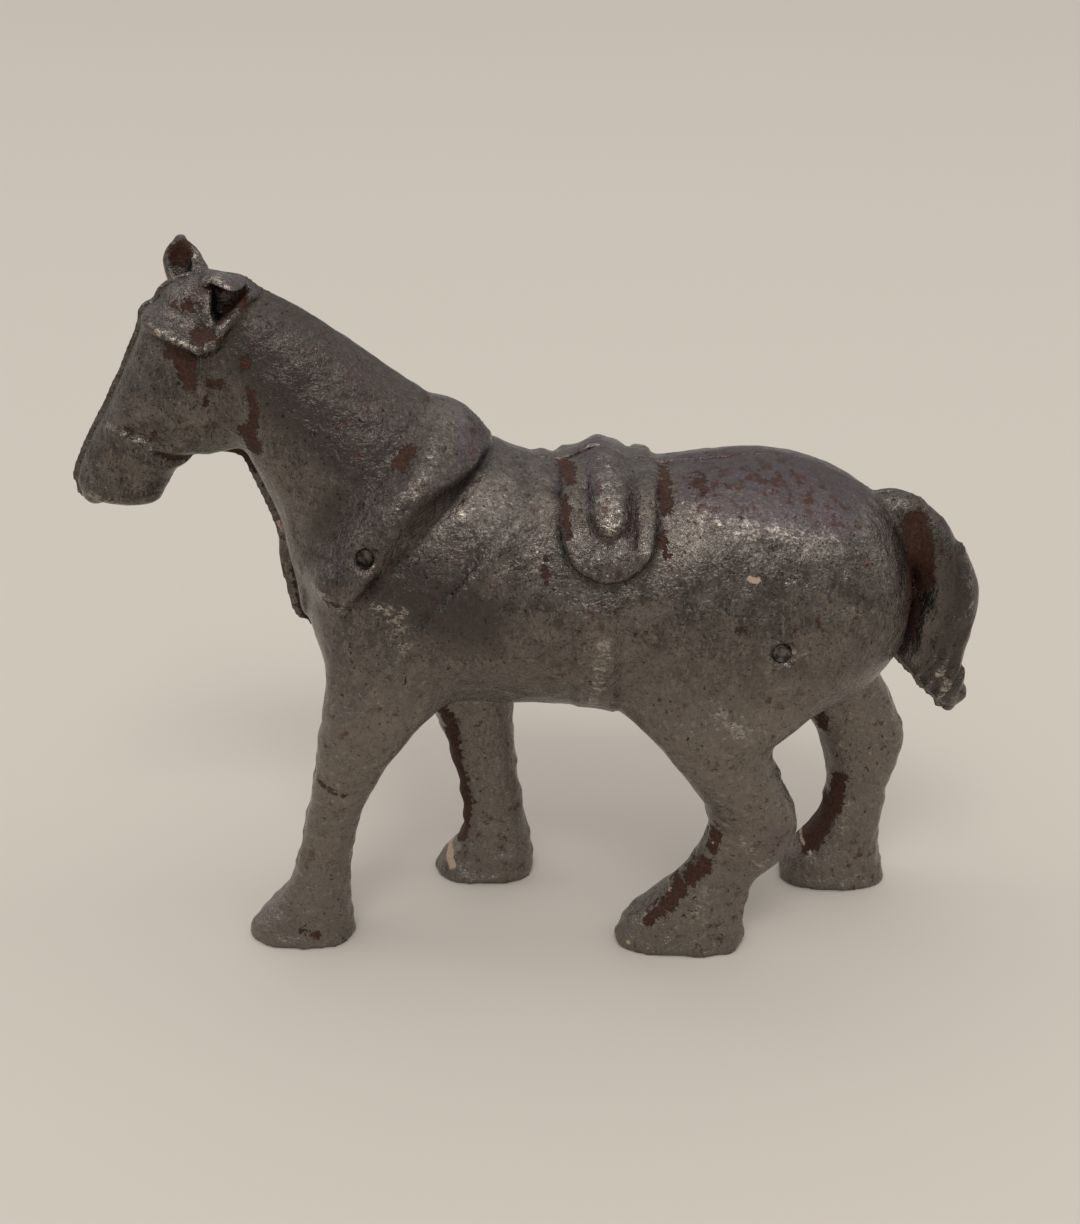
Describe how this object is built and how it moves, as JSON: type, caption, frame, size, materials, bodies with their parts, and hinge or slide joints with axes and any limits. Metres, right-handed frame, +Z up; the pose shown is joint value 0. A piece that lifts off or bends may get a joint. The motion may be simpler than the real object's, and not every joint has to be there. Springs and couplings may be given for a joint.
{
  "type": "figural animal coin bank",
  "caption": "Hollow cast-iron still bank shaped as a walking draft horse in collar and saddle harness, split along its length and held by slotted screws.",
  "frame": {"origin": "centre of the overall box, at the level of the four hoof soles", "axes": "+Z up, -X the way the horse faces, the left half on -Y and the right half on +Y"},
  "size_m": [0.152, 0.0424, 0.1207],
  "materials": {
    "worn_iron_left": "worn gunmetal paint over rusted, pitted sand casting",
    "worn_iron_right": "worn gunmetal paint over rusted, pitted sand casting",
    "screw_steel": "dull oxidised steel"
  },
  "bodies": {
    "left_half": {"left_half": "worn_iron_left"},
    "right_half": {"right_half": "worn_iron_right"},
    "front_screw": {"front_screw": "screw_steel"},
    "rear_screw": {"rear_screw": "screw_steel"}
  },
  "joints": [
    {"name": "right_half_lift_off", "type": "slide", "parent": "left_half", "child": "right_half", "axis": [0, 1, 0], "range_m": [0, 0.06]},
    {"name": "front_screw_out", "type": "slide", "parent": "right_half", "child": "front_screw", "axis": [0, 1, 0], "range_m": [0, 0.036]},
    {"name": "rear_screw_out", "type": "slide", "parent": "right_half", "child": "rear_screw", "axis": [0, 1, 0], "range_m": [0, 0.042]}
  ]
}
